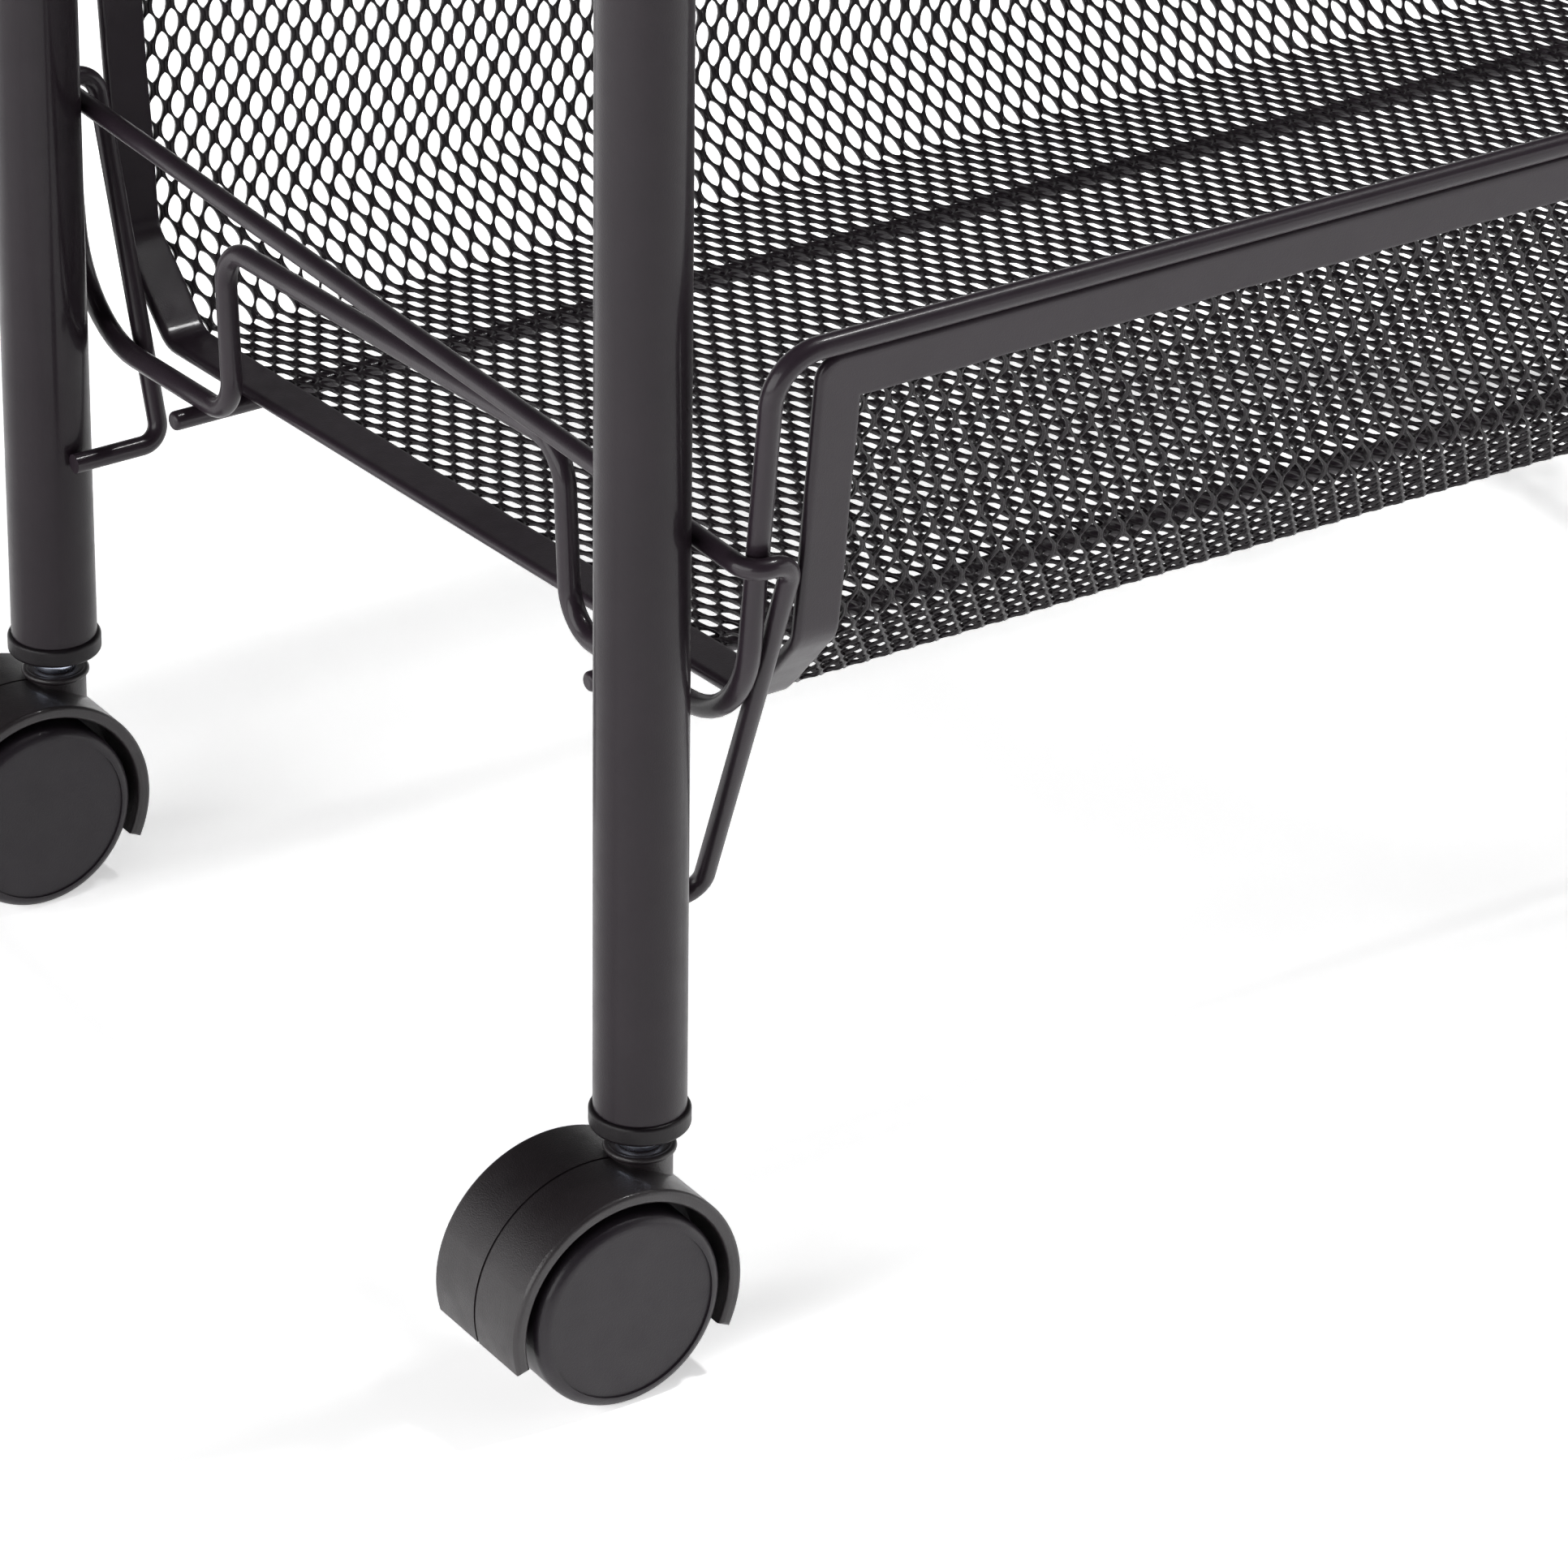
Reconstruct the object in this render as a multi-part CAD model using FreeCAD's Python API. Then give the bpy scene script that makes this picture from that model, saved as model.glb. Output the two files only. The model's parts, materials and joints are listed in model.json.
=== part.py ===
import FreeCAD, Part
import math
import os

V = FreeCAD.Vector
UP = V(0, 0, 1)
ACROSS = V(0, 1, 0)
ALONG = V(1, 0, 0)

# Rolling utility cart, millimetres. X runs along the cart, Y from front to rear, Z up from the floor.
# Two bent-tube side frames carry three hung mesh trays and stand on four swivelling twin-wheel casters.

# Side frames: one tube each, bent to an upside-down U whose top bar is the handle.
leg_span_x = 530.0
leg_span_y = 279.0
tube_d = 22.0
tube_wall = 1.5
tube_end_z = 67.4
handle_rise = 93.0
handle_bend_r = 62.0

# Tiers: height of the lowest side rail and the step from tier to tier.
tier_names = ("lower", "middle", "upper")
rail_z = 211.0
tier_step = 250.0

# Side rails: one bent wire per side and tier, welded to the inner faces of both legs.
rail_d = 5.0
weld_gap = 0.05
jog_reach = 23.3
nest_gap = 0.15
brace_gap = 0.8
front_brace_drop = 100.7
rear_brace_drop = 90.6

# Trays: a mesh sheet folded to a trough, open at both ends and hung with a slight lean to the rear.
tray_tilt = 4.0
tray_hang = 58.4
tray_end_gap = 2.8
floor_depth = 266.0
fold_drop = 22.5
fold_deg = 45.0
front_wall_spread = 14.0
rear_wall_spread = 2.6
tray_height = 98.0
fold_r = 8.0
sheet_t = 1.2

# Gaps of the mesh in the sheet's flat panels, in staggered rows, fewer and larger than the real ones.
gap_pitch_x = 27.4
gap_pitch_run = 48.0
gap_strand = 7.5

# Binding: a steel strip folded over every edge of the sheet.
binding_w = 12.0
binding_t = 3.0
binding_cover = 8.0
binding_corner_r = 6.0
slot_gap = 0.05

# Tray wire: one closed loop of rim, corner posts, hanging loops and side runs.
loop_d = 5.5
rim_bend_r = 12.0
post_bend_r = 28.0
hook_bend_r = 11.0
hook_span = 157.0
hook_height = 46.0

# Cross wires under the tray floor.
cross_d = 5.0
cross_span = 194.0
cross_stub = 7.5

# Plugs that close the tube ends and carry the caster stems.
plug_flange_d = 24.0
plug_flange_t = 5.0
plug_depth = 28.0
plug_gap = 0.05
plug_edge_r = 1.0
stem_d = 11.0
stem_ring = 2.2
stem_reach = 24.0
pin_d = 7.0
pin_depth = 9.6

# Casters: a moulded hood over two wheels on one axle, trailing the swivel axis.
trail = 14.0
wheel_d = 50.0
wheel_w = 16.0
wheel_rim_r = 3.0
wheel_inner_rim_r = 1.2
wheel_face_in = 0.5
wheel_skin = 2.2
axle_d = 6.0
axle_end_gap = 0.4
run_gap = 0.05
side_gap = 0.5
hood_d = 62.0
hood_wall = 3.4
hood_w = 36.0
hood_edge_r = 1.2
hood_web = 5.0
hood_front_deg = -26.0
hood_back_deg = 195.0
hood_hub_d = 18.0
wheel_room = 1.2
seam_w = 0.7
seam_depth = 0.4
boss_d = 15.6
boss_gap = 0.3
boss_edge_r = 1.0
cut_over = 2.0

# Places worked out from the sizes above.
handle_z = rail_z + (len(tier_names) - 1) * tier_step + handle_rise
leg_x = leg_span_x / 2
leg_y = leg_span_y / 2
tube_r = tube_d / 2
rail_r = rail_d / 2
loop_r = loop_d / 2
cross_r = cross_d / 2
wire_pair = rail_r + loop_r
jog_bend_r = wire_pair + nest_gap
rail_in = tube_r + weld_gap + rail_r
loop_in = rail_in + jog_bend_r
brace_in = loop_in + wire_pair + brace_gap
tray_in = brace_in + rail_r + tray_end_gap
tray_half = leg_x - tray_in
loop_half = leg_x - loop_in

# The tray's section, in its own Y and Z, with the floor's middle at zero.
floor_half = floor_depth / 2
fold_half = floor_half + fold_drop
wall_rise = tray_height - fold_drop
cross_z = -binding_t / 2 - cross_r
hook_z = cross_z + cross_r + loop_r

tilt = math.radians(tray_tilt)
wheel_z = wheel_d / 2
hood_r = hood_d / 2
hood_in_r = hood_r - hood_wall
flange_z = tube_end_z - plug_flange_t
pin_top_z = flange_z - stem_ring
boss_top_z = pin_top_z - boss_gap


def spread(side):
    """How far the front (-1) or rear (1) wall leans out on its way up."""
    return front_wall_spread if side < 0 else rear_wall_spread


def wall_len(side):
    return math.hypot(spread(side), wall_rise)


def wall_point(side, run):
    """The point of a wall's middle line at a distance from its foot, as Y and Z of the tray."""
    share = run / wall_len(side)
    return V(0, side * (fold_half + spread(side) * share), fold_drop + wall_rise * share)


def turned(y, z):
    """A tray point (y, z) turned by the tray's tilt, before the tray is moved to its place."""
    return (y * math.cos(tilt) + z * math.sin(tilt), z * math.cos(tilt) - y * math.sin(tilt))


def post_y_at(side, height):
    """Where a leaning corner post, front (-1) or rear (1), stands at a height over the tray's middle."""
    low_y, low_z = turned(side * fold_half, fold_drop)
    top_y, top_z = turned(side * (fold_half + spread(side)), tray_height)
    return low_y + (top_y - low_y) * (height - low_z) / (top_z - low_z)


# The front posts nest in the bends of the front jogs; the rear posts hook behind the rear jogs.
nest_y = -leg_y - jog_reach + jog_bend_r
tray_y = nest_y - post_y_at(-1, tray_hang)
rear_post_y = tray_y + post_y_at(1, tray_hang)
rear_post_slant = math.atan2(
    post_y_at(1, tray_height) - post_y_at(1, fold_drop), wall_rise)
rear_jog_reach = rear_post_y - leg_y - (wire_pair + nest_gap) / math.cos(rear_post_slant)

# The rims reach farthest to front and rear, so the cart's middle lies halfway between them.
front_rim_y = turned(-fold_half - front_wall_spread, tray_height)[0]
rear_rim_y = turned(fold_half + rear_wall_spread, tray_height)[0]
middle_y = tray_y + (front_rim_y + rear_rim_y) / 2


def rounded_path(points, radii):
    """Straight runs through the points, with a tangent arc of the given radius at each inner point."""
    edges = []
    start = points[0]
    for i, radius in enumerate(radii):
        corner = points[i + 1]
        back = (points[i] - corner).normalize()
        ahead = (points[i + 2] - corner).normalize()
        half_angle = back.getAngle(ahead) / 2
        reach = radius / math.tan(half_angle)
        middle = (back + ahead).normalize() * (radius / math.sin(half_angle) - radius)
        edges.append(Part.LineSegment(start, corner + back * reach).toShape())
        edges.append(Part.Arc(corner + back * reach, corner + middle, corner + ahead * reach).toShape())
        start = corner + ahead * reach
    edges.append(Part.LineSegment(start, points[-1]).toShape())
    return edges


def bent_rod(points, radii, diameter):
    """A round rod bent along the points: plain runs, and an arc of the given radius at each inner point."""
    ring = Part.makeCircle(diameter / 2, points[0], points[1] - points[0])
    faces = [Part.Face(Part.Wire(ring))]
    start = points[0]
    for i, radius in enumerate(radii):
        corner = points[i + 1]
        back = (points[i] - corner).normalize()
        ahead = (points[i + 2] - corner).normalize()
        half_angle = back.getAngle(ahead) / 2
        reach = radius / math.tan(half_angle)
        run = corner + back * reach - start
        faces.append(ring.extrude(run))
        ring = ring.translated(run)
        centre = corner + (back + ahead).normalize() * (radius / math.sin(half_angle))
        axis = ahead.cross(back)
        turn = math.degrees(math.pi - 2 * half_angle)
        faces.append(ring.revolve(centre, axis, turn))
        ring = ring.rotated(centre, axis, turn)
        start = corner + ahead * reach
    faces.append(ring.extrude(points[-1] - start))
    faces.append(Part.Face(Part.Wire(ring.translated(points[-1] - start))))
    shell = Part.Shell(faces)
    shell.sewShape()
    return Part.Solid(shell)


def cylinder(radius, bottom, top, centre=V(0, 0, 0)):
    """An upright cylinder between two heights."""
    return Part.makeCylinder(radius, top - bottom, centre + V(0, 0, bottom), UP)


def mirrored_x(shape):
    return shape.mirror(V(0, 0, 0), ALONG)


def side_frame():
    """Left side frame: both legs and the handle bar bent from one tube."""
    points = [V(-leg_x, -leg_y, tube_end_z), V(-leg_x, -leg_y, handle_z),
              V(-leg_x, leg_y, handle_z), V(-leg_x, leg_y, tube_end_z)]
    bends = [handle_bend_r, handle_bend_r]
    outer = bent_rod(points, bends, tube_d)
    inner = bent_rod(points, bends, tube_d - 2 * tube_wall)
    return outer.cut(inner)


def side_rail(z):
    """Left side rail: the rail on both legs, a jog past each leg, and a slanting brace back to the leg."""
    rail_x = -leg_x + rail_in
    brace_x = -leg_x + brace_in
    foot = tube_r + weld_gap + rail_r
    front_jog = -leg_y - jog_reach
    rear_jog = leg_y + rear_jog_reach
    front_z = z - front_brace_drop
    rear_z = z - rear_brace_drop
    points = [V(-leg_x, -leg_y + foot, front_z), V(brace_x, -leg_y + foot, front_z), V(brace_x, front_jog, z),
              V(rail_x, front_jog, z), V(rail_x, rear_jog, z), V(brace_x, rear_jog, z),
              V(brace_x, leg_y - foot, rear_z), V(-leg_x, leg_y - foot, rear_z)]
    return bent_rod(points, [jog_bend_r] * (len(points) - 2), rail_d)


def trough_outline(offset, inset):
    """The trough's section as six corner points, moved inward by an offset, short of the rims by an inset."""
    fold = math.radians(fold_deg)
    halves = []
    for side in (-1, 1):
        lean = math.atan2(spread(side), wall_rise)
        knee = offset * math.tan((fold - lean) / 2)
        inward = V(0, -side * math.cos(lean), math.sin(lean)) * offset
        upward = V(0, side * math.sin(lean), math.cos(lean))
        low = V(0, side * (floor_half - offset * math.tan(fold / 2)), offset)
        high = wall_point(side, 0) + inward - upward * knee
        tip = wall_point(side, wall_len(side) - loop_r - inset) + inward
        halves.append([low, high, tip])
    return halves[0][::-1] + halves[1]


def trough(thickness, inset, x_from, x_to):
    """A folded sheet of the trough's section between two X places."""
    skins = []
    for offset in (-thickness / 2, thickness / 2):
        points = trough_outline(offset, inset)
        skins.append((points, rounded_path(points, [fold_r - offset] * (len(points) - 2))))
    ends = [Part.LineSegment(skins[0][0][i], skins[1][0][i]).toShape() for i in (0, -1)]
    wire = Part.Wire(Part.__sortEdges__(skins[0][1] + skins[1][1] + ends))
    face = Part.Face(wire)
    face.translate(V(x_from, 0, 0))
    return face.extrude(V(x_to - x_from, 0, 0))


def panel_gaps(run, half_x):
    """Diamond cutters in staggered rows on a flat panel of a given run, about its middle, along Y."""
    strand_share = gap_strand * math.hypot(gap_pitch_x, gap_pitch_run) / (gap_pitch_x * gap_pitch_run)
    gap_x = gap_pitch_x * (1 - strand_share) / 2
    gap_y = min(gap_pitch_run * (1 - strand_share), run) / 2
    rows = int(2 * (run / 2 - gap_y) / gap_pitch_run * 2) + 1
    cutters = []
    for row in range(rows):
        y = (row - (rows - 1) / 2) * gap_pitch_run / 2
        count = int(2 * (half_x - gap_x) / gap_pitch_x) + 1 - row % 2
        for i in range(count):
            x = (i - (count - 1) / 2) * gap_pitch_x
            corners = [V(x + gap_x, y, 0), V(x, y + gap_y, 0), V(x - gap_x, y, 0), V(x, y - gap_y, 0)]
            diamond = Part.Face(Part.makePolygon(corners + corners[:1]))
            diamond.translate(UP * (-sheet_t))
            cutters.append(diamond.extrude(UP * (2 * sheet_t)))
    return cutters


def mesh_sheet():
    """The tray's mesh as one folded sheet, its edges inside the binding, with gaps in each flat panel."""
    inset = binding_w - binding_cover
    half = tray_half - inset
    sheet = trough(sheet_t, inset, -half, half)
    fold = math.radians(fold_deg)
    fold_run = fold_drop / math.sin(fold) - 2 * (fold_r + sheet_t) * math.tan(fold / 2)
    panels = [(floor_depth - 2 * fold_r, 0, V(0, 0, 0))]
    for side in (-1, 1):
        lean = math.degrees(math.atan2(wall_rise, spread(side)))
        wall_run = wall_len(side) - loop_r - binding_w
        panels.append((wall_run - fold_r / 2, side * lean, wall_point(side, wall_run / 2)))
        panels.append((fold_run, side * fold_deg, V(0, side * (floor_half + fold_half) / 2, fold_drop / 2)))
    cutters = []
    for run, turn, middle in panels:
        for cutter in panel_gaps(run, tray_half - binding_w):
            cutter.rotate(V(0, 0, 0), ALONG, turn)
            cutter.translate(middle)
            cutters.append(cutter)
    return sheet.cut(Part.Compound(cutters))


def top_strip(side):
    """The binding along one wall's top edge."""
    lean = math.atan2(spread(side), wall_rise)
    strip = Part.makeBox(2 * tray_half, binding_t, binding_w, V(-tray_half, -binding_t / 2, -binding_w))
    strip.rotate(V(0, 0, 0), ALONG, -math.degrees(lean) * side)
    strip.translate(wall_point(side, wall_len(side) - loop_r))
    return strip


def binding():
    """The strip round the whole sheet, folded over its edge, with rounded corners at the top."""
    left_end = trough(binding_t, 0, -tray_half, binding_w - tray_half)
    right_end = trough(binding_t, 0, tray_half - binding_w, tray_half)
    frame = left_end.multiFuse([right_end, top_strip(-1), top_strip(1)]).removeSplitter()
    tops = [wall_point(side, wall_len(side) - loop_r).z for side in (-1, 1)]
    corners = []
    for edge in frame.Edges:
        middle = edge.CenterOfMass
        at_top = any(abs(middle.z - top) < slot_gap for top in tops)
        if at_top and abs(abs(middle.x) - tray_half) < slot_gap:
            corners.append(edge)
    frame = frame.makeFillet(binding_corner_r, corners)
    inset = binding_w - binding_cover - slot_gap
    slot = trough(sheet_t + 2 * slot_gap, inset, inset - tray_half, tray_half - inset)
    return frame.cut(slot)


def tray_loop():
    """The tray's closed wire: rims, leaning corner posts, hanging loops and side runs."""
    run_z = hook_z + hook_height
    hook = hook_span / 2
    halves = []
    for side in (-1, 1):
        post_foot = fold_half - spread(side) * (fold_drop - hook_z) / wall_rise
        rim = fold_half + spread(side)
        outline = [(0, run_z), (hook, run_z), (hook, hook_z), (post_foot, hook_z), (rim, tray_height)]
        left = [V(-loop_half, side * y, z) for y, z in outline]
        right = [V(-p.x, p.y, p.z) for p in left[::-1]]
        bends = [hook_bend_r, hook_bend_r, post_bend_r, rim_bend_r]
        halves.append(bent_rod(left + right, bends + bends[::-1], loop_d))
    return halves[0].fuse(halves[1]).removeSplitter()


def cross_wire(side):
    """A straight wire with rounded ends under the floor, from hanging loop to hanging loop."""
    half = loop_half + cross_stub
    rod = Part.makeCylinder(cross_r, 2 * half, V(-half, side * cross_span / 2, cross_z), ALONG)
    ends = [e for e in rod.Edges if e.Curve.TypeId == "Part::GeomCircle"]
    return rod.makeFillet(cross_r / 2, ends)


def hung(shape, z):
    """Tilt a tray piece and hang it from the rail at height z."""
    placed = shape.copy()
    placed.rotate(V(0, 0, 0), ALONG, -tray_tilt)
    placed.translate(V(0, tray_y, z - tray_hang))
    return placed


def tube_plug():
    """Plug on the leg's axis: a flange under the tube's end and a bored body inside it."""
    flange = cylinder(plug_flange_d / 2, flange_z, tube_end_z)
    flange = flange.makeFillet(plug_edge_r, [e for e in flange.Edges if e.Curve.TypeId == "Part::GeomCircle"])
    body = cylinder(tube_r - tube_wall - plug_gap, tube_end_z - plug_edge_r, tube_end_z + plug_depth)
    bore = cylinder(stem_d / 2 + plug_gap, flange_z - cut_over, flange_z + stem_reach + cut_over)
    return flange.fuse(body).cut(bore).removeSplitter()


def caster_stem():
    """Steel stem in the plug, with the thinner pin that the hood swivels on."""
    shank = cylinder(stem_d / 2, pin_top_z, flange_z + stem_reach)
    pin = cylinder(pin_d / 2, pin_top_z - pin_depth, pin_top_z)
    return shank.fuse(pin).removeSplitter()


def hood_sector(radius):
    """A flat sector about the axle, from the hood's front tip over its top to its back tip."""
    centre = V(-trail, 0, wheel_z)
    front = math.radians(hood_front_deg)
    back = math.radians(hood_back_deg)
    ring = []
    for share in (0, 1 / 2, 1):
        angle = front + (back - front) * share
        ring.append(centre + V(radius * math.cos(angle), 0, radius * math.sin(angle)))
    edges = [Part.Arc(*ring).toShape(), Part.LineSegment(ring[2], centre).toShape(),
             Part.LineSegment(centre, ring[0]).toShape()]
    return Part.Face(Part.Wire(edges))


def across(face, width):
    """A flat shape across the caster, thickened evenly to both sides."""
    solid = face.extrude(ACROSS * width)
    solid.translate(ACROSS * (-width / 2))
    return solid


def axle_cylinder(radius, y_from, y_to):
    """A cylinder on the axle between two places across the caster."""
    return Part.makeCylinder(radius, y_to - y_from, V(-trail, y_from, wheel_z), ACROSS)


def caster_hood():
    """Moulded hood: curved shell over both wheels, middle web with the axle hub, and the swivel boss."""
    shell = across(hood_sector(hood_r), hood_w)
    shell = shell.cut(axle_cylinder(hood_in_r, -hood_w, hood_w))
    rims = []
    for edge in shell.Edges:
        if abs(abs(edge.CenterOfMass.y) - hood_w / 2) < run_gap:
            rims.append(edge)
    shell = shell.makeFillet(hood_edge_r, rims)
    groove = axle_cylinder(hood_r + cut_over, -seam_w / 2, seam_w / 2)
    groove = groove.cut(axle_cylinder(hood_r - seam_depth, -seam_w, seam_w))
    shell = shell.cut(groove)
    web = across(hood_sector(hood_in_r + hood_wall / 2), hood_web)
    hub = axle_cylinder(hood_hub_d / 2, -hood_web / 2, hood_web / 2)
    boss = cylinder(boss_d / 2, wheel_z, boss_top_z)
    boss_rim = [e for e in boss.Edges if abs(e.CenterOfMass.z - boss_top_z) < run_gap]
    boss = boss.makeFillet(boss_edge_r, boss_rim)
    hood = shell.multiFuse([web, hub, boss])
    room = wheel_d / 2 + wheel_room
    for side in (-1, 1):
        ends = sorted((side * hood_web / 2, side * hood_w))
        hood = hood.cut(axle_cylinder(room, *ends))
    hood = hood.cut(axle_cylinder(axle_d / 2 + run_gap, -hood_w, hood_w))
    bore = cylinder(pin_d / 2 + run_gap, pin_top_z - pin_depth - boss_gap, boss_top_z + cut_over)
    return hood.cut(bore).removeSplitter()


def caster_wheel(side):
    """One wheel: rounded tread edges, a plain face set in a little from the rim, and a blind bore."""
    inner = hood_web / 2 + side_gap
    outer = inner + wheel_w
    wheel = axle_cylinder(wheel_d / 2, inner, outer)
    rim = [e for e in wheel.Edges if abs(e.CenterOfMass.y - outer) < run_gap]
    wheel = wheel.makeFillet(wheel_rim_r, rim)
    rim = [e for e in wheel.Edges if abs(e.CenterOfMass.y - inner) < run_gap]
    wheel = wheel.makeFillet(wheel_inner_rim_r, rim)
    dish = axle_cylinder(wheel_d / 2 - wheel_rim_r, outer - wheel_face_in, outer + cut_over)
    bore = axle_cylinder(axle_d / 2 + run_gap, inner - cut_over, outer - wheel_skin)
    wheel = wheel.cut(dish).cut(bore)
    if side < 0:
        wheel = wheel.mirror(V(0, 0, 0), ACROSS)
    return wheel


def caster_axle():
    """Axle through the web, ending inside both wheels."""
    half = hood_web / 2 + side_gap + wheel_w - wheel_skin - axle_end_gap
    return axle_cylinder(axle_d / 2, -half, half)


def save(shape, node):
    """Write one piece, with the middle of the whole cart over the origin."""
    centred = shape.translated(V(0, -middle_y, 0))
    centred.exportStep("parts/" + node + ".step")


def main():
    os.makedirs("parts", exist_ok=True)
    left_frame = side_frame()
    save(left_frame, "side_frame_left")
    save(mirrored_x(left_frame), "side_frame_right")

    sheet = mesh_sheet()
    strip = binding()
    loop = tray_loop()
    for tier, name in enumerate(tier_names):
        z = rail_z + tier * tier_step
        rail = side_rail(z)
        save(rail, "side_rail_left_" + name)
        save(mirrored_x(rail), "side_rail_right_" + name)
        save(hung(sheet, z), "tray_mesh_" + name)
        save(hung(strip, z), "tray_binding_" + name)
        save(hung(loop, z), "tray_loop_" + name)
        save(hung(cross_wire(-1), z), "cross_wire_front_" + name)
        save(hung(cross_wire(1), z), "cross_wire_rear_" + name)

    corner_pieces = {"tube_plug": tube_plug(), "caster_stem": caster_stem(), "caster_hood": caster_hood(),
                     "caster_axle": caster_axle(), "caster_wheel_front": caster_wheel(-1),
                     "caster_wheel_rear": caster_wheel(1)}
    for end, y in (("front", -leg_y), ("rear", leg_y)):
        for piece, shape in corner_pieces.items():
            placed = shape.copy()
            placed.translate(V(-leg_x, y, 0))
            save(placed, piece + "_at_" + end + "_left")
            save(mirrored_x(placed), piece + "_at_" + end + "_right")


main()
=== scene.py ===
import json
import math

import bpy
import numpy as np
from mathutils import Matrix, Vector

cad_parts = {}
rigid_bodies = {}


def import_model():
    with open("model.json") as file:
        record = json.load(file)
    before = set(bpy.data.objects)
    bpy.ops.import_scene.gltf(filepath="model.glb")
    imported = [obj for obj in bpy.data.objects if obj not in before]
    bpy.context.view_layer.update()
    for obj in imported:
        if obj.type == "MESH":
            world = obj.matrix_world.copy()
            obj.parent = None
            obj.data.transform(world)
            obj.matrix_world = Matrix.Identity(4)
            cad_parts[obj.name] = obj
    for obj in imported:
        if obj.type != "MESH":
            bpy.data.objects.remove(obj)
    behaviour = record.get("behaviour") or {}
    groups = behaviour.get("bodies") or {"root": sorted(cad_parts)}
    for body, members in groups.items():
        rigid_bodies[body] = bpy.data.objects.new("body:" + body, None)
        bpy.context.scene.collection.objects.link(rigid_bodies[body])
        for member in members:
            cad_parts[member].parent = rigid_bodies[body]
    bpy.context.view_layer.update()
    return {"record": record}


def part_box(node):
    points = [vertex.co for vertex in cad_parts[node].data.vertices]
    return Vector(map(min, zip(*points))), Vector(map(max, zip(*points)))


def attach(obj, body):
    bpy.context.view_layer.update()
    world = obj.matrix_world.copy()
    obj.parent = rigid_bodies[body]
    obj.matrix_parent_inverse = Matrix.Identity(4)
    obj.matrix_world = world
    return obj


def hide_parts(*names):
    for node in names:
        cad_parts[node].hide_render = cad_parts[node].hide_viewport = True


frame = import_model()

# Places of the cart in the frame, in metres.
TIERS = ("lower", "middle", "upper")
CORNERS = ("front_left", "front_right", "rear_left", "rear_right")
TIER_STEP = 0.250

# The tray's folded section, as the CAD sheet has it, in metres.
FLOOR_HALF = 0.133
FOLD_DROP = 0.0225
FRONT_SPREAD = 0.014
REAR_SPREAD = 0.0026
TRAY_HEIGHT = 0.098
FOLD_R = 0.008
RIM_WIRE_R = 0.00275
EDGE_INSET = 0.004
TRAY_TILT = math.radians(4.0)
FLOOR_MIDDLE_Z = 0.1526

# Slack for distances along the section that differ only by rounding.
ROUNDING = 1e-12

# Expanded metal: columns of lens-shaped holes, staggered by turns, between strands along the section.
MESH_PITCH_X = 0.0064
MESH_PITCH_U = 0.0108
HOLE_WIDTH = 0.0048
HOLE_LENGTH = 0.0077
HOLE_POWER = 1.9
HOLE_BLUNT = 0.85
STRAND_T = 0.00095
BOND_RISE = 0.00052
PRESSED_MARGIN = 0.010
PRESSED_BLEND = 0.004
PRESSED_SHARE = 0.35

# Binding: a strip pressed over the sheet's edges, round at the fold and a little uneven at its free edge.
BINDING_W = 0.012
BINDING_T = 0.003
BINDING_CORNER_R = 0.006
LIP_R = 0.0007
EDGE_HOLD = 0.0006
UNEVEN = 0.00022
UNEVEN_WAVES = ((290.0, 170.0, 0.0), (113.0, 0.0, -1.0))
UNEVEN_POWER = 4
BINDING_STEP = 0.004
FOLD_POINTS = 9
LIP_POINTS = 4
CORNER_POINTS = 9

# Swivel boss: its top lies below the solid's and has a round lip. The stem's bright collar shows above it.
BOSS_R = 0.0078
BOSS_EDGE_R = 0.001
BOSS_DROP = 0.0025
BOSS_NEAR = 0.0001
BEAD_R = 0.0009
BEAD_STEPS = 16
COLLAR_R = 0.0055
COLLAR_BORE_R = 0.0040
COLLAR_EDGE = 0.0003
COLLAR_LAP = 0.0004
TURN_STEPS = 64

# The photograph's camera, fitted on the legs, rails and tray edges.
CAMERA_FROM_LEG = (-0.88336, -1.38438, 0.97644)
TUBE_END_Z = 0.0674
CAMERA_PITCH = 28.517
CAMERA_YAW = 33.667
CAMERA_ROLL = -0.78
FOCAL_PX = 10192.0
PHOTO_PX = 1932.0
SENSOR_MM = 36.0
CLIP_END = 50.0

# Surfaces: how finely colour and gloss drift, the ends of that drift, the grain and the clear coat.
TINT_SCALE = 60.0
GLOSS_SCALE = 140.0
DRIFT_DETAIL = 3.0
DRIFT_ENDS = (0.3, 0.7)
GRAIN_DETAIL = 2.0
GRAIN_STRENGTH = 0.35
COAT_ROUGH = 0.14

# Floor: its tone for the light, two tones that add up for the camera, and a glow that grows with distance.
FLOOR_REACH = 6.0
FLOOR_TONE = 0.82
FLOOR_SEEN_TONES = (0.95, 0.65)
GLOW_NEAR, GLOW_NEAR_LEVEL = 0.6, 0.45
GLOW_FAR, GLOW_FAR_LEVEL = 1.7, 1.0

# Sky: tone by height, and a shade towards the front left, by the cosine of the angle to it.
SKY_LOW_Z, SKY_LOW_TONE = 0.0, 0.95
SKY_HIGH_Z, SKY_HIGH_TONE = 0.48, 0.02
SKY_STRENGTH = 0.85
DARK_SIDE = (-0.537, -0.843, 0.0)
SHADE_START, SHADE_START_LEVEL = 0.2, 1.0
SHADE_FULL, SHADE_FULL_LEVEL = 0.9, 0.30

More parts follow.
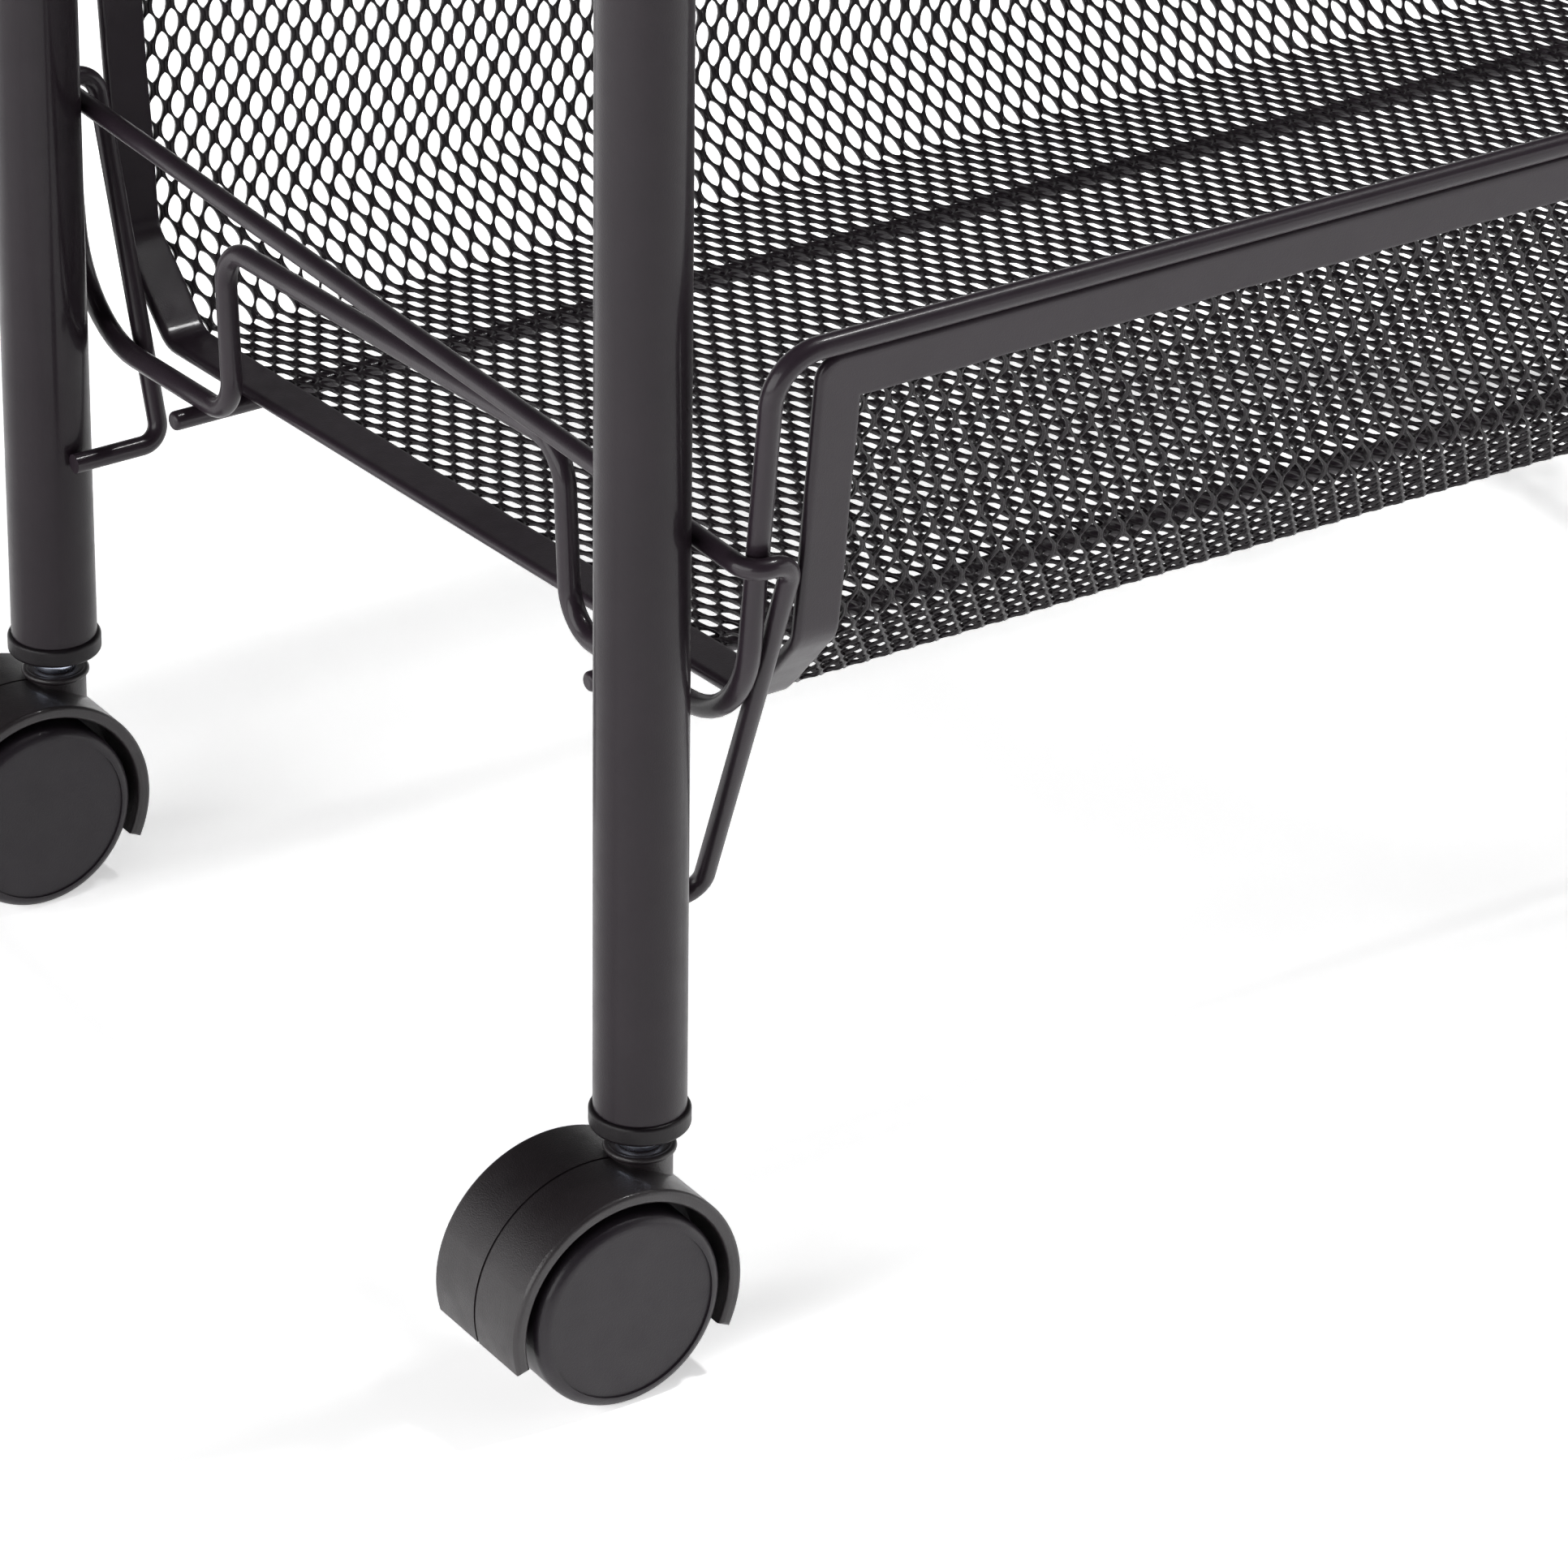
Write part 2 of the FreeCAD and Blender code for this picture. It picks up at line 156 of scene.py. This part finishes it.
# Lamps: name, place, target, width, height and power.
LAMPS = (("key", (-2.4, -0.2, 0.9), (0.0, 0.0, 0.3), 3.0, 1.2, 42.0),
         ("fill", (2.2, -1.5, 0.8), (0.0, 0.0, 0.2), 2.4, 1.2, 15.0),
         ("top", (0.75, -0.28, 2.2), (0.0, 0.0, 0.3), 0.22, 0.22, 26.0))


def node_tree(name):
    """A new material with an empty node tree."""
    material = bpy.data.materials.new(name)
    material.use_nodes = True
    tree = material.node_tree
    tree.nodes.clear()
    return material, tree


def add_node(tree, kind, **inputs):
    """A new node with plain values on some of its sockets."""
    node = tree.nodes.new(kind)
    for name, value in inputs.items():
        node.inputs[name.replace("_", " ")].default_value = value
    return node


def noise_ramp(tree, coords, scale, low, high):
    """Colours that drift between two values over an object-space noise."""
    noise = add_node(tree, "ShaderNodeTexNoise", Scale=scale, Detail=DRIFT_DETAIL)
    ramp = tree.nodes.new("ShaderNodeValToRGB")
    for stop, place, colour in zip(ramp.color_ramp.elements, DRIFT_ENDS, (low, high)):
        stop.position = place
        stop.color = (*colour, 1.0)
    tree.links.new(coords.outputs["Object"], noise.inputs["Vector"])
    tree.links.new(noise.outputs["Fac"], ramp.inputs["Fac"])
    return ramp.outputs["Color"]


def coated(name, low, high, rough, grain_scale, grain_depth,
           metallic=0.0, specular=0.5, coat=0.0):
    """A coated or moulded surface: drifting colour and gloss, and a fine grain in relief."""
    material, tree = node_tree(name)
    coords = tree.nodes.new("ShaderNodeTexCoord")
    shader = tree.nodes.new("ShaderNodeBsdfPrincipled")
    shader.inputs["Metallic"].default_value = metallic
    shader.inputs["Specular IOR Level"].default_value = specular
    shader.inputs["Coat Weight"].default_value = coat
    shader.inputs["Coat Roughness"].default_value = COAT_ROUGH
    out = tree.nodes.new("ShaderNodeOutputMaterial")
    tree.links.new(shader.outputs["BSDF"], out.inputs["Surface"])
    tree.links.new(noise_ramp(tree, coords, TINT_SCALE, low, high), shader.inputs["Base Color"])
    gloss = noise_ramp(tree, coords, GLOSS_SCALE, (rough[0],) * 3, (rough[1],) * 3)
    tree.links.new(gloss, shader.inputs["Roughness"])
    grain = add_node(tree, "ShaderNodeTexNoise", Scale=grain_scale, Detail=GRAIN_DETAIL)
    bump = add_node(tree, "ShaderNodeBump", Strength=GRAIN_STRENGTH, Distance=grain_depth)
    tree.links.new(coords.outputs["Object"], grain.inputs["Vector"])
    tree.links.new(grain.outputs["Fac"], bump.inputs["Height"])
    tree.links.new(bump.outputs["Normal"], shader.inputs["Normal"])
    return material


def section_pieces(top_gap):
    """The sheet's middle line in y and z, as straight runs and arcs, short of the rims by a gap."""
    fold_half = FLOOR_HALF + FOLD_DROP
    wall_rise = TRAY_HEIGHT - FOLD_DROP
    halves = []
    for side, spread in ((-1, FRONT_SPREAD), (1, REAR_SPREAD)):
        wall_len = math.hypot(spread, wall_rise)
        share = (wall_len - top_gap) / wall_len
        halves.append([(side * FLOOR_HALF, 0.0), (side * fold_half, FOLD_DROP),
                       (side * (fold_half + spread * share), FOLD_DROP + wall_rise * share)])
    corners = [np.array(c) for c in halves[0][::-1] + halves[1]]
    pieces = []
    start = corners[0]
    for before, corner, after in zip(corners, corners[1:], corners[2:]):
        back = (before - corner) / np.linalg.norm(before - corner)
        ahead = (after - corner) / np.linalg.norm(after - corner)
        half_angle = math.acos(float(np.dot(back, ahead))) / 2
        reach = FOLD_R / math.tan(half_angle)
        inward = (back + ahead) / np.linalg.norm(back + ahead)
        centre = corner + inward * FOLD_R / math.sin(half_angle)
        pieces.append(("run", start, corner + back * reach))
        pieces.append(("arc", corner + back * reach, centre, math.pi - 2 * half_angle))
        start = corner + ahead * reach
    pieces.append(("run", start, corners[-1]))
    return pieces


def piece_length(piece):
    """The length of a run or an arc of the section."""
    if piece[0] == "run":
        return float(np.linalg.norm(piece[2] - piece[1]))
    return FOLD_R * piece[3]


def section_at(pieces, distances):
    """Points and directions on the section at the given distances along it."""
    points = np.zeros((len(distances), 2))
    ahead = np.zeros((len(distances), 2))
    done = 0.0
    for piece in pieces:
        length = piece_length(piece)
        last = piece is pieces[-1]
        inside = (distances >= done - ROUNDING) & ((distances < done + length) | last)
        along = distances[inside] - done
        if piece[0] == "run":
            step = (piece[2] - piece[1]) / length
            points[inside] = piece[1] + along[:, None] * step
            ahead[inside] = step
        else:
            turn = along / FOLD_R
            arm = piece[1] - piece[2]
            points[inside, 0] = piece[2][0] + arm[0] * np.cos(turn) - arm[1] * np.sin(turn)
            points[inside, 1] = piece[2][1] + arm[0] * np.sin(turn) + arm[1] * np.cos(turn)
            spoke = points[inside] - piece[2]
            ahead[inside, 0] = -spoke[:, 1] / FOLD_R
            ahead[inside, 1] = spoke[:, 0] / FOLD_R
        done += length
    return points, ahead


def soft_step(value, low, high):
    """A smooth rise from 0 to 1 between two values."""
    share = np.clip((value - low) / (high - low), 0.0, 1.0)
    return share * share * (3.0 - 2.0 * share)


def hole_half(offset):
    """Half a hole's width at a distance along the section from its middle: a lens with blunt tips."""
    reach = np.clip(np.abs(offset) / (HOLE_LENGTH / 2), 0.0, 1.0)
    return HOLE_WIDTH / 2 * (1.0 - reach ** HOLE_POWER) ** HOLE_BLUNT


def expanded_mesh(name, half_x, fine):
    """One tray's expanded metal: turned strands between staggered columns of holes, joined at the bonds."""
    pieces = section_pieces(RIM_WIRE_R + EDGE_INSET)
    total = sum(piece_length(p) for p in pieces)
    repeats = round(total / MESH_PITCH_U)
    pitch_u = total / repeats
    bond_half = pitch_u / 2 - HOLE_LENGTH / 2
    quarter = pitch_u / 4
    marks = [0.0, bond_half, quarter, HOLE_LENGTH / 2]
    if fine:
        marks += [bond_half / 2, (quarter + HOLE_LENGTH / 2) / 2]
        marks += [pitch_u / 2 - m for m in marks[-2:]]
    marks = np.unique(np.round(marks, 7))
    marks = np.concatenate([marks, marks + pitch_u / 2])
    along = np.concatenate([marks + i * pitch_u for i in range(repeats)] + [[total]])
    steps = len(along)
    points, ahead = section_at(pieces, along)
    normal = np.stack([-ahead[:, 1], ahead[:, 0]], axis=1)
    phase = np.mod(along, pitch_u)
    wave = np.cos(2.0 * math.pi * along / pitch_u)

    column = MESH_PITCH_X / 2
    strands = int(2.0 * half_x / column)
    here = hole_half(np.minimum(phase, pitch_u - phase))
    beside = hole_half(phase - pitch_u / 2)
    edge_u = np.minimum(along, total - along)
    coords = np.zeros((strands, steps, 4, 3))
    for strand in range(strands):
        side = 1.0 if strand % 2 == 0 else -1.0
        left_x = (strand - strands / 2) * column
        middle_x = left_x + column / 2
        left_hole, right_hole = (here, beside) if side > 0 else (beside, here)
        left = left_x + left_hole * (strand > 0)
        right = left_x + column - right_hole * (strand < strands - 1)
        edge = np.minimum(edge_u, half_x - abs(middle_x))
        free = soft_step(edge, PRESSED_MARGIN - PRESSED_BLEND, PRESSED_MARGIN)
        raised = PRESSED_SHARE + (1.0 - PRESSED_SHARE) * free
        left_rise = -BOND_RISE * np.maximum(side * wave, 0.0) * raised
        right_rise = BOND_RISE * np.maximum(-side * wave, 0.0) * raised
        corners = ((right, right_rise, -1), (left, left_rise, -1),
                   (left, left_rise, 1), (right, right_rise, 1))
        for corner, (edge_x, rise, up) in enumerate(corners):
            height = rise + up * STRAND_T / 2
            coords[strand, :, corner, 0] = edge_x
            coords[strand, :, corner, 1] = points[:, 0] + normal[:, 0] * height
            coords[strand, :, corner, 2] = points[:, 1] + normal[:, 1] * height

    return ring_mesh(name, coords, closed=False)


def ring_mesh(name, coords, closed):
    """A smooth mesh from rows of rings of points: tubes with capped ends, or one tube closed on itself."""
    tubes, steps, sides = coords.shape[:3]
    ring = np.arange(sides)
    ahead = np.arange(steps if closed else steps - 1)
    start = (np.arange(tubes)[:, None, None] * steps + ahead[None, :, None]) * sides
    after = (np.arange(tubes)[:, None, None] * steps + (ahead[None, :, None] + 1) % steps) * sides
    turn = (ring + 1) % sides
    quads = np.stack([start + ring, start + turn, after + turn, after + ring], axis=-1).reshape(-1, 4)
    sizes = np.full(len(quads), 4)
    loops = quads.ravel()
    if not closed:
        first = np.arange(tubes)[:, None] * steps * sides
        caps = np.concatenate([first + ring[::-1], first + (steps - 1) * sides + ring])
        sizes = np.concatenate([sizes, np.full(len(caps), sides)])
        loops = np.concatenate([loops, caps.ravel()])
    mesh = bpy.data.meshes.new(name)
    mesh.vertices.add(tubes * steps * sides)
    mesh.vertices.foreach_set("co", coords.ravel())
    mesh.loops.add(len(loops))
    mesh.loops.foreach_set("vertex_index", loops.astype(np.int32))
    mesh.polygons.add(len(sizes))
    mesh.polygons.foreach_set("loop_start", (np.cumsum(sizes) - sizes).astype(np.int32))
    mesh.polygons.foreach_set("use_smooth", np.ones(len(sizes), dtype=bool))
    mesh.update(calc_edges=True)
    mesh.validate()
    return mesh


def binding_profile():
    """The strip's section, as distance from its outer edge and height: round at the fold, with two lips."""
    half = BINDING_T / 2
    fold = np.radians(np.linspace(90.0, 270.0, FOLD_POINTS))
    points = [(half + EDGE_HOLD, half)] + [(half + half * math.cos(a), half * math.sin(a)) for a in fold]
    points += [(half + EDGE_HOLD, -half), (BINDING_W - LIP_R - EDGE_HOLD, -half)]
    for turn in np.radians(np.linspace(-90.0, 0.0, LIP_POINTS)):
        points.append((BINDING_W - LIP_R + LIP_R * math.cos(turn), -half + LIP_R + LIP_R * math.sin(turn)))
    for turn in np.radians(np.linspace(0.0, 90.0, LIP_POINTS)):
        points.append((BINDING_W - LIP_R + LIP_R * math.cos(turn), half - LIP_R + LIP_R * math.sin(turn)))
    return np.array(points + [(BINDING_W - LIP_R - EDGE_HOLD, half)])


def binding_mesh(name, half_x):
    """The strip round one sheet: its path laid out flat, then folded along the section with the sheet."""
    pieces = section_pieces(RIM_WIRE_R)
    run = sum(piece_length(p) for p in pieces)
    bend = BINDING_CORNER_R
    rows = np.linspace(bend, run - bend, int(run / BINDING_STEP * 2))
    ways = np.linspace(bend - half_x, half_x - bend, int(2 * half_x / BINDING_STEP))
    corner = np.radians(np.linspace(0.0, 90.0, CORNER_POINTS))[1:-1]
    outer = [(x, 0.0) for x in ways]
    outer += [(half_x - bend + bend * math.sin(a), bend - bend * math.cos(a)) for a in corner]
    outer += [(half_x, u) for u in rows]
    outer += [(half_x - bend + bend * math.cos(a), run - bend + bend * math.sin(a)) for a in corner]
    outer = np.array(outer)
    outer = np.concatenate([outer, np.array([0.0, run]) - outer])
    inner = np.stack([np.clip(outer[:, 0], BINDING_W - half_x, half_x - BINDING_W),
                      np.clip(outer[:, 1], BINDING_W, run - BINDING_W)], axis=1)
    profile = binding_profile()
    share = profile[:, 0] / BINDING_W
    flat = outer[:, None, :] + (inner - outer)[:, None, :] * share[None, :, None]
    waves = [np.sin(flat[..., 0] * by_x + flat[..., 1] * by_u + start)
             for by_x, by_u, start in UNEVEN_WAVES]
    wobble = UNEVEN * sum(waves) / len(waves)
    flat += (inner - outer)[:, None, :] / BINDING_W * (wobble * share ** UNEVEN_POWER)[..., None]
    points, ahead = section_at(pieces, flat[..., 1].ravel())
    normal = np.stack([-ahead[:, 1], ahead[:, 0]], axis=1)
    height = np.broadcast_to(profile[:, 1], flat.shape[:2]).ravel()
    coords = np.concatenate([flat[..., 0].reshape(-1, 1), points + normal * height[:, None]], axis=1)
    return ring_mesh(name, coords.reshape(1, len(outer), len(profile), 3), closed=True)


def placed_tray(mesh, tier, node, name):
    """A tray piece in its place: tilted about the tray's middle, hung at its tier, shown for its node."""
    low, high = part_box(node)
    piece = bpy.data.objects.new(name, mesh)
    bpy.context.scene.collection.objects.link(piece)
    turn = Matrix.Rotation(-TRAY_TILT, 4, "X")
    turned = [turn @ v.co for v in mesh.vertices]
    middle_y = (min(v.y for v in turned) + max(v.y for v in turned)) / 2
    place = Vector((0.0, (low[1] + high[1]) / 2 - middle_y, FLOOR_MIDDLE_Z + tier * TIER_STEP))
    piece.data.transform(Matrix.Translation(place) @ turn)
    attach(piece, "cart")
    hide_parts(node)
    return piece


def turned_ring(name, profile, axis):
    """A closed ring: a profile of radius and height turned about an upright axis."""
    turns = np.linspace(0.0, 2 * math.pi, TURN_STEPS, endpoint=False)
    coords = [[(axis[0] + r * math.cos(a), axis[1] + r * math.sin(a), z) for r, z in profile[::-1]]
              for a in turns]
    return ring_mesh(name, np.array([coords]), closed=True)


def corner_piece(name, corner, body, mesh, material):
    """A piece at one corner that rides on a body."""
    mesh.materials.clear()
    mesh.materials.append(material)
    piece = bpy.data.objects.new(name + "_at_" + corner, mesh)
    bpy.context.scene.collection.objects.link(piece)
    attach(piece, body)
    return piece


def caster_top(corner):
    """One caster's hood with its boss lowered, the lip round the boss, and the collar up to the plug."""
    node = "caster_hood_at_" + corner
    source = bpy.data.objects[node]
    shell = source.data.copy()
    shell.transform(source.matrix_world)
    low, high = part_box("tube_plug_at_" + corner)
    axis = ((low[0] + high[0]) / 2, (low[1] + high[1]) / 2)
    old_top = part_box(node)[1][2]
    for vertex in shell.vertices:
        reach = math.hypot(vertex.co.x - axis[0], vertex.co.y - axis[1])
        if reach < BOSS_R + BOSS_NEAR and vertex.co.z > old_top - BOSS_EDGE_R - BOSS_NEAR:
            vertex.co.z -= BOSS_DROP
    top = old_top - BOSS_DROP
    hood = corner_piece("hood_shell", corner, "caster_" + corner, shell, hood_plastic)
    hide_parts(node)

    round_bead = np.linspace(0.0, 2 * math.pi, BEAD_STEPS, endpoint=False)
    bead = [(BOSS_R + BEAD_R * math.cos(a), top - BEAD_R + BEAD_R * math.sin(a)) for a in round_bead]
    lip = turned_ring("lip_" + corner, bead, axis)
    corner_piece("boss_lip", corner, "caster_" + corner, lip, hood_plastic)

    foot, head = top + BOSS_NEAR, old_top + COLLAR_LAP
    collar = [(COLLAR_BORE_R, foot), (COLLAR_R - COLLAR_EDGE, foot), (COLLAR_R, foot + COLLAR_EDGE),
              (COLLAR_R, head - COLLAR_EDGE), (COLLAR_R - COLLAR_EDGE, head), (COLLAR_BORE_R, head)]
    ring = turned_ring("collar_" + corner, collar, axis)
    corner_piece("stem_collar", corner, "cart", ring, zinc)


def as_seen(tree, base, seen_surface):
    """A surface that gives way to another one where camera, glossy or glass rays look at it."""
    path = tree.nodes.new("ShaderNodeLightPath")
    seen = tree.nodes.new("ShaderNodeMath")
    seen.operation = "MAXIMUM"
    also = tree.nodes.new("ShaderNodeMath")
    also.operation = "MAXIMUM"
    tree.links.new(path.outputs["Is Camera Ray"], seen.inputs[0])
    tree.links.new(path.outputs["Is Glossy Ray"], seen.inputs[1])
    tree.links.new(seen.outputs[0], also.inputs[0])
    tree.links.new(path.outputs["Is Transmission Ray"], also.inputs[1])
    mix = tree.nodes.new("ShaderNodeMixShader")
    tree.links.new(also.outputs[0], mix.inputs["Fac"])
    tree.links.new(base, mix.inputs[1])
    tree.links.new(seen_surface, mix.inputs[2])
    return mix.outputs[0]


def floor_piece():
    """A wide pale floor that glows softly to the camera and still takes the cart's shadow."""
    half = FLOOR_REACH
    mesh = bpy.data.meshes.new("floor")
    corners = [(-half, -half, 0), (half, -half, 0), (half, half, 0), (-half, half, 0)]
    mesh.from_pydata(corners, [], [(0, 1, 2, 3)])
    floor = bpy.data.objects.new("floor", mesh)
    bpy.context.scene.collection.objects.link(floor)
    material, tree = node_tree("floor_white")
    matt = add_node(tree, "ShaderNodeBsdfDiffuse", Color=(FLOOR_TONE, FLOOR_TONE, FLOOR_TONE, 1.0))
    lit, more = (add_node(tree, "ShaderNodeBsdfDiffuse", Color=(tone, tone, tone, 1.0))
                 for tone in FLOOR_SEEN_TONES)
    glow = add_node(tree, "ShaderNodeEmission", Color=(1.0, 1.0, 1.0, 1.0))
    coords = tree.nodes.new("ShaderNodeTexCoord")
    away = tree.nodes.new("ShaderNodeVectorMath")
    away.operation = "LENGTH"
    level = tree.nodes.new("ShaderNodeMapRange")
    spans = (("From Min", GLOW_NEAR), ("From Max", GLOW_FAR),
             ("To Min", GLOW_NEAR_LEVEL), ("To Max", GLOW_FAR_LEVEL))
    for name, value in spans:
        level.inputs[name].default_value = value
    tree.links.new(coords.outputs["Object"], away.inputs[0])
    tree.links.new(away.outputs["Value"], level.inputs["Value"])
    tree.links.new(level.outputs["Result"], glow.inputs["Strength"])
    bright = tree.nodes.new("ShaderNodeAddShader")
    both = tree.nodes.new("ShaderNodeAddShader")
    tree.links.new(lit.outputs[0], bright.inputs[0])
    tree.links.new(more.outputs[0], bright.inputs[1])
    tree.links.new(bright.outputs[0], both.inputs[0])
    tree.links.new(glow.outputs[0], both.inputs[1])
    out = tree.nodes.new("ShaderNodeOutputMaterial")
    tree.links.new(as_seen(tree, matt.outputs[0], both.outputs[0]), out.inputs["Surface"])
    floor.data.materials.append(material)


def studio_world():
    """Soft light from the sides and the back, weaker from above and in front, white behind the cart."""
    world = bpy.data.worlds.new("studio")
    world.use_nodes = True
    tree = world.node_tree
    tree.nodes.clear()
    coords = tree.nodes.new("ShaderNodeTexCoord")
    split = tree.nodes.new("ShaderNodeSeparateXYZ")
    ramp = tree.nodes.new("ShaderNodeValToRGB")
    tones = ((SKY_LOW_Z, SKY_LOW_TONE), (SKY_HIGH_Z, SKY_HIGH_TONE))
    for stop, (height, tone) in zip(ramp.color_ramp.elements, tones):
        stop.position = height
        stop.color = (tone, tone, tone, 1.0)
    facing = tree.nodes.new("ShaderNodeVectorMath")
    facing.operation = "DOT_PRODUCT"
    facing.inputs[1].default_value = DARK_SIDE
    shade = tree.nodes.new("ShaderNodeMapRange")
    spans = (("From Min", SHADE_START), ("From Max", SHADE_FULL),
             ("To Min", SHADE_START_LEVEL), ("To Max", SHADE_FULL_LEVEL))
    for name, value in spans:
        shade.inputs[name].default_value = value
    power = tree.nodes.new("ShaderNodeMath")
    power.operation = "MULTIPLY"
    power.inputs[1].default_value = SKY_STRENGTH
    soft = tree.nodes.new("ShaderNodeBackground")
    white = add_node(tree, "ShaderNodeBackground", Color=(1.0, 1.0, 1.0, 1.0), Strength=1.0)
    path = tree.nodes.new("ShaderNodeLightPath")
    mix = tree.nodes.new("ShaderNodeMixShader")
    out = tree.nodes.new("ShaderNodeOutputWorld")
    tree.links.new(coords.outputs["Generated"], split.inputs[0])
    tree.links.new(split.outputs["Z"], ramp.inputs["Fac"])
    tree.links.new(ramp.outputs["Color"], soft.inputs["Color"])
    tree.links.new(coords.outputs["Generated"], facing.inputs[0])
    tree.links.new(facing.outputs["Value"], shade.inputs["Value"])
    tree.links.new(shade.outputs["Result"], power.inputs[0])
    tree.links.new(power.outputs["Value"], soft.inputs["Strength"])
    tree.links.new(path.outputs["Is Camera Ray"], mix.inputs["Fac"])
    tree.links.new(soft.outputs[0], mix.inputs[1])
    tree.links.new(white.outputs[0], mix.inputs[2])
    tree.links.new(mix.outputs[0], out.inputs["Surface"])
    bpy.context.scene.world = world


def soft_light(name, place, target, width, height, power):
    """A flat lamp that faces its target."""
    lamp = bpy.data.lights.new(name, "AREA")
    lamp.shape = "RECTANGLE"
    lamp.size = width
    lamp.size_y = height
    lamp.energy = power
    lamp_object = bpy.data.objects.new(name, lamp)
    lamp_object.location = place
    aim = Vector(target) - Vector(place)
    lamp_object.rotation_euler = aim.to_track_quat("-Z", "Y").to_euler()
    bpy.context.scene.collection.objects.link(lamp_object)


def photo_camera():
    """The camera of the photograph: a long lens looking down at the lower left corner."""
    pitch, yaw, roll = (math.radians(a) for a in (CAMERA_PITCH, CAMERA_YAW, CAMERA_ROLL))
    ahead = Vector((math.sin(yaw) * math.cos(pitch), math.cos(yaw) * math.cos(pitch), -math.sin(pitch)))
    level = Vector((math.cos(yaw), -math.sin(yaw), 0.0))
    down = ahead.cross(level)
    right = level * math.cos(roll) + down * math.sin(roll)
    up = level * math.sin(roll) - down * math.cos(roll)
    camera_data = bpy.data.cameras.new("photo_camera")
    camera_data.sensor_width = SENSOR_MM
    camera_data.lens = FOCAL_PX / PHOTO_PX * SENSOR_MM
    camera_data.clip_end = CLIP_END
    camera = bpy.data.objects.new("photo_camera", camera_data)
    camera.matrix_world = Matrix((right, up, -ahead)).transposed().to_4x4()
    low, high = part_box("tube_plug_at_front_left")
    leg = Vector(((low[0] + high[0]) / 2, (low[1] + high[1]) / 2, TUBE_END_Z))
    camera.location = leg + Vector(CAMERA_FROM_LEG)
    bpy.context.scene.collection.objects.link(camera)
    bpy.context.scene.camera = camera


# Surfaces: the dark and light colour, the range of roughness, and the grain's scale and depth.
powder = coated("powder_coat", (0.0225, 0.0152, 0.0214), (0.0282, 0.0195, 0.0270), (0.34, 0.44),
                2600.0, 0.00014, specular=0.20, coat=0.32)
# Painted shade: the powder coat again, made darker for the tube frames, for the dimmer light and darker
# reflections they show.
tube_painted_shade_coat = coated("tube_painted_shade_coat", (0.0128, 0.0078, 0.0120), (0.0166, 0.0105, 0.0155), (0.36, 0.46),
                   2600.0, 0.00012, specular=0.15, coat=0.30)
mesh_coat = coated("mesh_coat", (0.0150, 0.0112, 0.0141), (0.0200, 0.0153, 0.0188), (0.32, 0.44),
                   1400.0, 0.00008, specular=0.20, coat=0.30)
hood_plastic = coated("hood_plastic", (0.0145, 0.0108, 0.0128), (0.0205, 0.0158, 0.0182), (0.36, 0.50),
                      3000.0, 0.00035, specular=0.48, coat=0.22)
wheel_plastic = coated("wheel_plastic", (0.0158, 0.0118, 0.0164), (0.0192, 0.0145, 0.0198), (0.38, 0.50),
                       3000.0, 0.00020, specular=0.30, coat=0.15)
plug_plastic = coated("plug_plastic", (0.0080, 0.0060, 0.0076), (0.0115, 0.0090, 0.0110), (0.34, 0.44),
                      2000.0, 0.00012, specular=0.25)
zinc = coated("zinc_steel", (0.62, 0.67, 0.80), (0.76, 0.81, 0.94), (0.22, 0.32),
              900.0, 0.00005, metallic=1.0)

# The CAD solids get the surface of their slot, and the tube frames a darker copy of the same powder coat:
# painted shade for the dimmer light and darker reflections on the legs.
SKINS = {"powder_coat": powder, "mesh_coat": mesh_coat, "hood_plastic": hood_plastic,
         "wheel_plastic": wheel_plastic, "plug_plastic": plug_plastic, "zinc_steel": zinc}
for subpart in frame["record"]["subparts"]:
    node = bpy.data.objects[subpart["node"]]
    node.data.materials.clear()
    tube = subpart["node"].startswith("side_frame")
    node.data.materials.append(tube_painted_shade_coat if tube else SKINS[subpart["material_slot"]])

# The lowest tray is the one that the photograph shows close up, so its holes have more points.
for tier, tier_name in enumerate(TIERS):
    sheet_low, sheet_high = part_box("tray_mesh_" + tier_name)
    sheet = expanded_mesh("lattice_" + tier_name, (sheet_high[0] - sheet_low[0]) / 2, tier == 0)
    sheet.materials.append(mesh_coat)
    lattice = placed_tray(sheet, tier, "tray_mesh_" + tier_name, "tray_lattice_" + tier_name)
    strip_low, strip_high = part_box("tray_binding_" + tier_name)
    strip = binding_mesh("strip_" + tier_name, (strip_high[0] - strip_low[0]) / 2)
    strip.materials.append(powder)
    edging = placed_tray(strip, tier, "tray_binding_" + tier_name, "tray_strip_" + tier_name)

for corner in CORNERS:
    caster_top(corner)

floor_piece()
studio_world()
for lamp in LAMPS:
    soft_light(*lamp)
photo_camera()
bpy.context.scene.view_settings.view_transform = "Standard"
